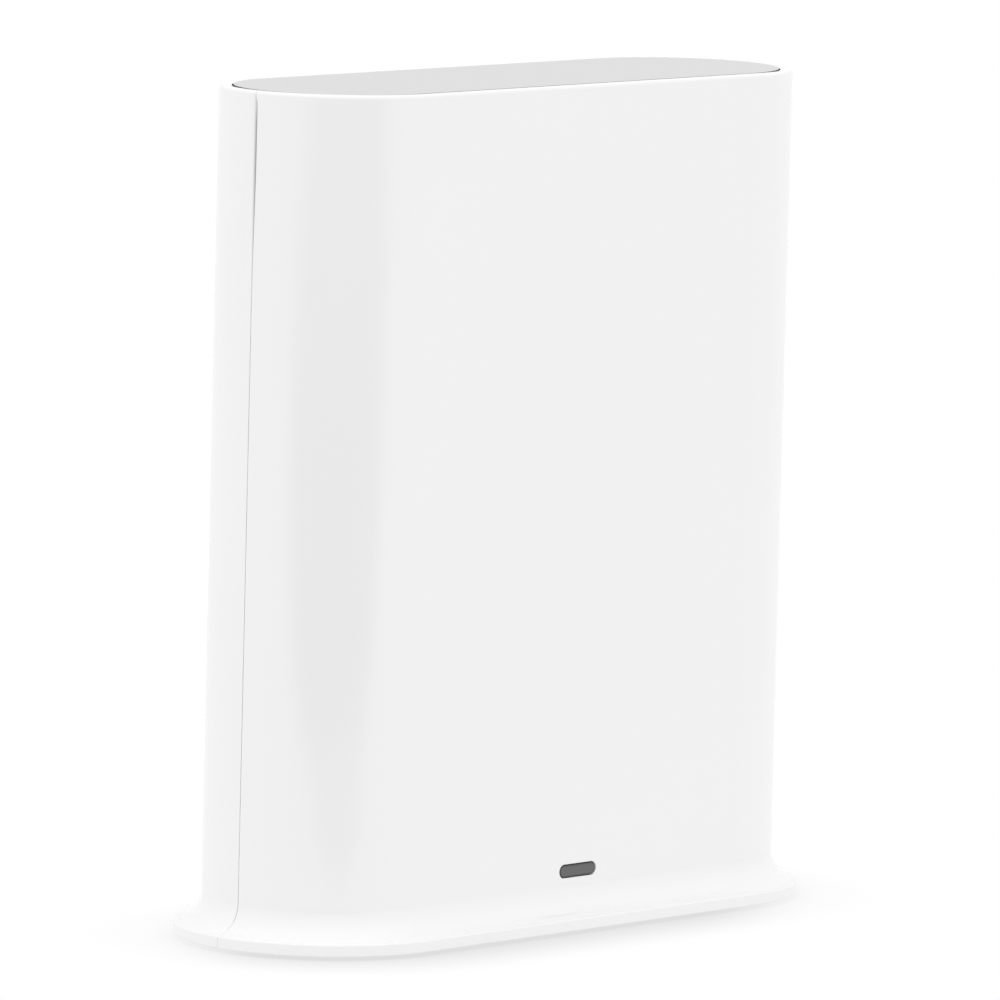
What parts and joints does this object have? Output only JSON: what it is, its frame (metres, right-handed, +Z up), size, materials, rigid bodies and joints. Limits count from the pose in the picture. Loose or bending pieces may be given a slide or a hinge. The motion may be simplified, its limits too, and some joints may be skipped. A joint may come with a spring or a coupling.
{
  "type": "security camera base station",
  "caption": "Upright hub for wireless cameras: stadium-plan white housing with a flared skirt, top plate, front status lamp, and sockets and buttons in a rear bay.",
  "frame": {"origin": "on the table, under the centre of the skirt", "axes": "+Z up, -Y to the front with the lamp, +Y to the back with the sockets, X along the width"},
  "size_m": [0.157, 0.0584, 0.1692],
  "materials": {
    "shell_white": "gloss",
    "cover_grey": "satin",
    "base_white": "fine texture",
    "tray_grey": "fine texture",
    "lens_smoke": "gloss",
    "clear_plastic": "clear",
    "foot_rubber": "matt",
    "black_plastic": "satin",
    "socket_plastic": "satin",
    "tongue_white": "satin",
    "button_white": "satin",
    "screw_steel": "plated",
    "sheet_steel": "tin plated",
    "contact_gold": "gold plated",
    "board_green": "solder mask",
    "chip_black": "matt",
    "pad_blue": "soft",
    "sink_aluminium": "anodised",
    "can_blue": "sleeved",
    "led_white": "clear",
    "link_lamp": "clear"
  },
  "bodies": {
    "hub": {"front_shell": "shell_white", "rear_shell": "shell_white", "top_cover": "cover_grey", "base_plate": "base_white", "rubber_feet": "foot_rubber", "base_screws": "screw_steel", "lamp_lens": "lens_smoke", "light_pipe": "clear_plastic", "light_shroud": "black_plastic", "status_leds": "led_white", "port_tray": "tray_grey", "network_shield": "sheet_steel", "network_insert": "socket_plastic", "network_contacts": "contact_gold", "network_lamps": "link_lamp", "usb_shell": "sheet_steel", "usb_tongue": "tongue_white", "usb_contacts": "contact_gold", "power_body": "socket_plastic", "power_pin": "sheet_steel", "power_spring": "sheet_steel", "sync_switch": "black_plastic", "reset_switch": "black_plastic", "main_board": "board_green", "board_screws": "screw_steel", "processor": "chip_black", "thermal_pad": "pad_blue", "heat_sink": "sink_aluminium", "memory_chips": "chip_black", "shield_cans": "sheet_steel", "network_transformer": "chip_black", "capacitors": "can_blue", "inductors": "chip_black", "antenna_left": "board_green", "antenna_right": "board_green", "lead_left": "black_plastic", "lead_right": "black_plastic", "antenna_plugs": "contact_gold"},
    "sync": {"sync_button": "button_white", "sync_plunger": "black_plastic"},
    "reset": {"reset_plunger": "black_plastic"}
  },
  "joints": [
    {"name": "sync_press", "type": "slide", "parent": "hub", "child": "sync", "axis": [0, -1, 0], "range_m": [0, 0.0006], "stiffness_N_per_m": 3000},
    {"name": "reset_press", "type": "slide", "parent": "hub", "child": "reset", "axis": [0, -1, 0], "range_m": [0, 0.0003], "stiffness_N_per_m": 5000}
  ]
}
